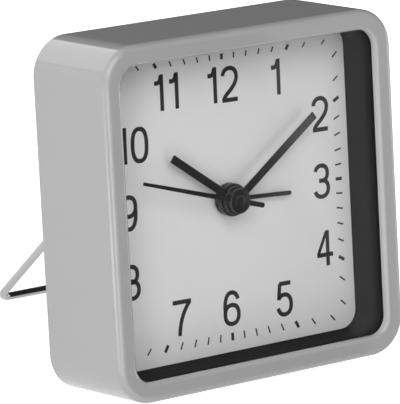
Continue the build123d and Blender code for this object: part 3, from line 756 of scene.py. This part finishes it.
def plate(outline, low, high):
    """An outline at four heights, drawn in along its normals at the lowest and highest."""
    ahead = np.roll(outline, -1, axis=0) - np.roll(outline, 1, axis=0)
    ahead /= np.linalg.norm(ahead, axis=1, keepdims=True)
    outward = np.stack([ahead[:, 1], -ahead[:, 0]], axis=-1)
    inset = np.array([EDGE, 0.0, 0.0, EDGE])[:, None, None]
    flat = outline - inset * outward
    height = np.array([low, low + EDGE, high - EDGE, high])[:, None, None]
    points = np.concatenate([flat, np.broadcast_to(height, (*flat.shape[:2], 1))], axis=-1)
    return points, capped_faces(4, len(outline))


def clock_turn(shell, angle):
    """A shell turned clockwise from twelve."""
    points, faces = shell
    return points @ clockwise(angle), faces


def hub(radius, low, high, step):
    """A round boss with a rounded upper edge and, if wanted, a step half as wide on top."""
    edge_middle = (radius - HUB_ROUND, high - step - HUB_ROUND)
    boss = [(radius, low), *arc(edge_middle, HUB_ROUND, 0, 90, HUB_STEPS)]
    if step:
        boss += [*arc((radius / 2 - step, high - step), step, 0, 90, STEP_STEPS)]
    return turned(*np.array(boss).T)


def blade(widths, ends, radii):
    """A tapering strip from one end to the other along twelve o'clock."""
    corners = [
        (widths[0] / 2, ends[0]),
        (widths[1] / 2, ends[1]),
        (-widths[1] / 2, ends[1]),
        (-widths[0] / 2, ends[0]),
    ]
    return softened(corners, [radii[0], radii[1], radii[1], radii[0]])


# %% The four hands
SHEET = 0.4
SHARP = 0.1
TAIL = 8.0
TAIL_WIDTH = 1.3
TAIL_ROUND_SHARE = 0.49
CAP = 0.5
CAP_STEP = 0.15

# Angle from twelve, width at the hub and at the tip, length, round of the tip, radius of the hub
hands = {
    "alarm": (93.3, (1.1, 1.1), 19.3, 0.54, 4.2),
    "hour": (305.7, (2.1, 2.1), 22.5, 0.14, 4.2),
    "minute": (54.6, (2.05, 2.05), 31.6, 0.14, 3.7),
    "second": (286.5, (1.35, 0.85), 30.5, 0.1, 3.2),
}
for body, (angle, widths, length, tip_round, hub_radius) in hands.items():
    node = body + "_hand"
    low, high = reach(node)
    capped = body == "second"
    top = high[2] - (CAP if capped else 0.0)
    strips = [blade(widths, (0.0, length), (SHARP, tip_round))]
    if capped:
        tail_rounds = (TAIL_WIDTH * TAIL_ROUND_SHARE, SHARP)
        strips.append(blade((TAIL_WIDTH, TAIL_WIDTH), (-TAIL, 0.0), tail_rounds))
    shells = [hub(hub_radius, low[2], high[2], CAP_STEP if capped else 0.0)]
    shells += [plate(strip, top - SHEET, top) for strip in strips]
    shells = [clock_turn(shell, angle) for shell in shells]
    make_piece(body + "_blade", joined(shells), body, "hand_black", [node])

# %% [markdown]
# The stand is one bent wire: its two ends turn inwards into lugs on the back, two legs run
# down and a bar joins them at the foot. A sweep of a circle along a path of straight runs and
# true arcs gives it. The path is flat, so one fixed direction keeps the section from twisting.

# %% The wire stand
stand_joint = next(joint for joint in frame["joints"] if joint["name"] == "stand_fold")
hinge = (np.array(stand_joint["pos_m"]) - dial_centre) @ dial_axes.T / MM
WIRE_RADIUS = 1.0
WIRE_AROUND = 28
BEND_STEPS = 12
ACROSS = np.array([1.0, 0.0, 0.0])
OPEN_ANGLE = math.radians(53.1)
PIN_LENGTH = 5.0
HINGE_BEND = 2.2
FOOT_BEND = 3.4
wire_low, wire_high = reach("wire_stand")
wire_half = wire_high[0] - WIRE_RADIUS
leg_way = np.array([0.0, -math.cos(OPEN_ANGLE), -math.sin(OPEN_ANGLE)])
leg = (hinge[2] - wire_low[2] - WIRE_RADIUS) / math.sin(OPEN_ANGLE)
flat_corners = np.array(
    [
        (wire_half - PIN_LENGTH, 0.0),
        (wire_half, 0.0),
        (wire_half, leg),
        (-wire_half, leg),
        (-wire_half, 0.0),
        (-wire_half + PIN_LENGTH, 0.0),
    ]
)
bends = [0.0, HINGE_BEND, FOOT_BEND, FOOT_BEND, HINGE_BEND, 0.0]
flat_path = softened(flat_corners, bends, steps=BEND_STEPS, closed=False)
wire_path = hinge + flat_path[:, :1] * ACROSS + flat_path[:, 1:] * leg_way


def swept(path, radius, side):
    """A circle carried along a flat path: in each plane of the path's normal and the side."""
    ahead = np.gradient(path, axis=0)
    ahead /= np.linalg.norm(ahead, axis=1, keepdims=True)
    across = np.cross(side, ahead)
    angle = np.linspace(0, 2 * np.pi, WIRE_AROUND, endpoint=False)[None, :, None]
    points = path[:, None] + radius * (np.cos(angle) * across[:, None] + np.sin(angle) * side)
    return points, capped_faces(len(path), WIRE_AROUND)


wire = swept(wire_path, WIRE_RADIUS, np.cross(ACROSS, leg_way))
make_piece("stand_wire", wire, "stand", "steel_wire", ["wire_stand"])

# %% [markdown]
# Two setting knobs stand on the back. Their grip is a ring of half-round ribs, and a cut
# cylinder can't show the soft ends that a mould gives them. So the radius is a function of
# the angle, half-round ribs on a round root, and it is drawn in towards both faces.

# %% The setting knobs
KNOB_ROOT = 4.2
RIB = 0.35
RIBS = 24
RIB_STEPS = 12
KNOB_EDGE = 0.5
FACE_STEPS = 6
INNER_STEPS = 4
INNER_SHARE = 0.5


def ribbed_knob(at, low, high):
    """Radius = root + rib height along the angle, drawn in by a round edge at both faces."""
    angle = np.linspace(0, 2 * np.pi, RIBS * RIB_STEPS, endpoint=False)
    spread = (angle * RIBS / (2 * np.pi) + 0.5) % 1 - 0.5
    sideways = spread * 2 * np.pi * KNOB_ROOT / RIBS
    rib = np.sqrt(np.clip(RIB**2 - sideways**2, 0, None))
    face = np.radians(np.linspace(0, 90, FACE_STEPS))
    inner = face[:INNER_STEPS]
    face_in = KNOB_EDGE * (1 - np.sin(face))
    inner_in = KNOB_EDGE * (1 - np.cos(inner)) * INNER_SHARE
    drawn_in = np.concatenate([face_in, inner_in])
    face_rise = low + KNOB_EDGE * (1 - np.cos(face))
    inner_rise = high - KNOB_EDGE * (1 - np.sin(inner))
    rise = np.concatenate([face_rise, inner_rise])
    radius = KNOB_ROOT + rib - drawn_in[:, None]
    x = at[0] + radius * np.cos(angle)
    y = at[1] + radius * np.sin(angle)
    points = np.stack(np.broadcast_arrays(x, y, rise[:, None]), axis=-1)
    return points, capped_faces(len(rise), len(angle))


for node, body in (("time_knob", "time_setting"), ("alarm_knob", "alarm_setting")):
    low, high = reach(node)
    at = (low[:2] + high[:2]) / 2
    make_piece(node + "_grip", ribbed_knob(at, low[2], high[2]), body, "black_plastic", [node])

# %% [markdown]
# The clock stands on a plain pale floor in front of a white room. The floor is an ordinary
# white surface for the light that falls on it, so the clock's shadow stays, but a share of
# white emission for camera, mirror and window rays lifts its open part to the paper white
# of the photograph. The world does the same: white to look at, dim to light with.

# %% Floor and world
FLOOR_SIZE = 6.0
FLOOR_TONE_SIZE = 40.0
FLOOR_GLOW = 0.8
AMBIENT = 0.05


def seen_rays(shade):
    """One for rays that are looked along: from the camera, a mirror or a window."""
    kinds = ("Is Camera Ray", "Is Glossy Ray", "Is Transmission Ray")
    camera_ray, mirror_ray, window_ray = (
        shade.node("ShaderNodeLightPath", output=kind) for kind in kinds
    )
    return shade.math("MINIMUM", camera_ray + mirror_ray + window_ray, 1.0)


floor_finish, floor_shader, shade = blank_finish("floor_paper")
connect(
    floor_shader,
    {
        "Base Color": mixed(shade, noise(shade, FLOOR_TONE_SIZE), grey(0.8), grey(0.82)),
        "Roughness": 0.9,
        "Emission Color": mixed(shade, seen_rays(shade), grey(0.0), grey(1.0)),
        "Emission Strength": FLOOR_GLOW,
    },
)
floor_corners = FLOOR_SIZE * np.array([(-1, -1, 0), (1, -1, 0), (1, 1, 0), (-1, 1, 0)])
floor_mesh = bpy.data.meshes.new("floor")
floor_mesh.from_pydata(floor_corners.tolist(), [], [(0, 1, 2, 3)])
floor_mesh.materials.append(floor_finish)
floor = bpy.data.objects.new("floor", floor_mesh)
bpy.context.scene.collection.objects.link(floor)

world = bpy.data.worlds.new("studio")
bpy.context.scene.world = world
world.use_nodes = True
sky = Shade(world.node_tree)
connect(
    world.node_tree.nodes["Background"],
    {"Color": mixed(sky, seen_rays(sky), grey(AMBIENT), grey(1.0)), "Strength": 1.0},
)
print("floor and world made")

# %% [markdown]
# The dial lies deep behind its lip, so most of the light comes from the front: one large soft
# lamp above, which leaves the corners of the dial a little dim, a smaller one that draws the
# faint shadows of the hands, and one from the left, which lights the side wall and shades the
# dial's left edge. A wide one lights the back. Smooth plastic also shows what stands around it.
# The strips and the backdrop light nothing and are only mirrored: they draw the fine bright
# lines along the rounded edges. On the right hang black flags, seen only by mirror rays, which
# keep the window, the wire and the top dark, as a photographer's flags do.

# %% Lamps


def lamp(name, place, target, size, power, lights=True, mirrored=True):
    """A rectangular soft lamp that faces a point; it lights, is mirrored, or both."""
    data = bpy.data.lights.new(name, "AREA")
    data.shape = "RECTANGLE"
    data.size, data.size_y = size
    data.energy = power
    light = bpy.data.objects.new(name, data)
    bpy.context.scene.collection.objects.link(light)
    light.location = place
    light.rotation_euler = (Vector(target) - Vector(place)).to_track_quat("-Z", "Y").to_euler()
    light.visible_camera = False
    light.visible_diffuse = lights
    light.visible_glossy = mirrored


LAMP_TARGET = (0.0, 0.0, 0.045)
lamp("softbox", (-0.38, -0.35, 0.84), LAMP_TARGET, (1.0, 0.8), 6.7)
lamp("front", (0.25, -0.92, 0.32), LAMP_TARGET, (0.4, 0.4), 1.05, mirrored=False)
lamp("left front", (-0.76, -0.4, 0.25), LAMP_TARGET, (0.5, 0.5), 3.6, mirrored=False)
lamp("rear", (-0.2, 1.0, 0.42), LAMP_TARGET, (1.4, 0.8), 6.5, mirrored=False)
lamp("mirrored backdrop", (-0.3, 0.98, 0.42), LAMP_TARGET, (1.4, 0.8), 4.0, lights=False)
lamp("low strip", (-0.49, -0.85, 0.245), LAMP_TARGET, (0.34, 0.4), 1.4, lights=False)
lamp("left strip", (-0.41, -0.085, 0.002), (-0.41, -0.085, 1.0), (0.5, 0.21), 1.1, lights=False)
lamp("right strip", (0.92, -0.33, 0.06), LAMP_TARGET, (0.6, 0.3), 2.0, lights=False)
print("lamps", [light.name for light in bpy.data.lights])

# %% The black flags
FLAG_X = 0.1
FLAG_TOP = 0.9
CLOTH_GRAIN = 3.0
flag_finish, flag_shader, shade = blank_finish("flag_cloth")
connect(
    flag_shader,
    {
        "Base Color": mixed(shade, noise(shade, CLOTH_GRAIN), grey(0.002), grey(0.004)),
        "Roughness": 1.0,
    },
)


def flag(name, near, far, low=0.0):
    """An upright black cloth on the right between two depths, seen only by mirror rays."""
    mesh = bpy.data.meshes.new(name)
    outline = [(near, low), (far, low), (far, FLAG_TOP), (near, FLAG_TOP)]
    corners = [(FLAG_X, depth, height) for depth, height in outline]
    mesh.from_pydata(corners, [], [list(range(len(corners)))])
    mesh.materials.append(flag_finish)
    cloth = bpy.data.objects.new(name, mesh)
    bpy.context.scene.collection.objects.link(cloth)
    cloth.visible_camera = False
    cloth.visible_diffuse = False
    cloth.visible_transmission = False
    cloth.visible_shadow = False


flag("flag_for_window", -0.8, -0.122)
flag("flag_for_top", 0.15, 0.5)
flag("flag_beside_case", 0.028, 0.15, low=0.035)
print("flags at", FLAG_X)

# %% [markdown]
# Colours are shown as written, so the view transform is Standard.

# %% The view transform
bpy.context.scene.view_settings.view_transform = "Standard"
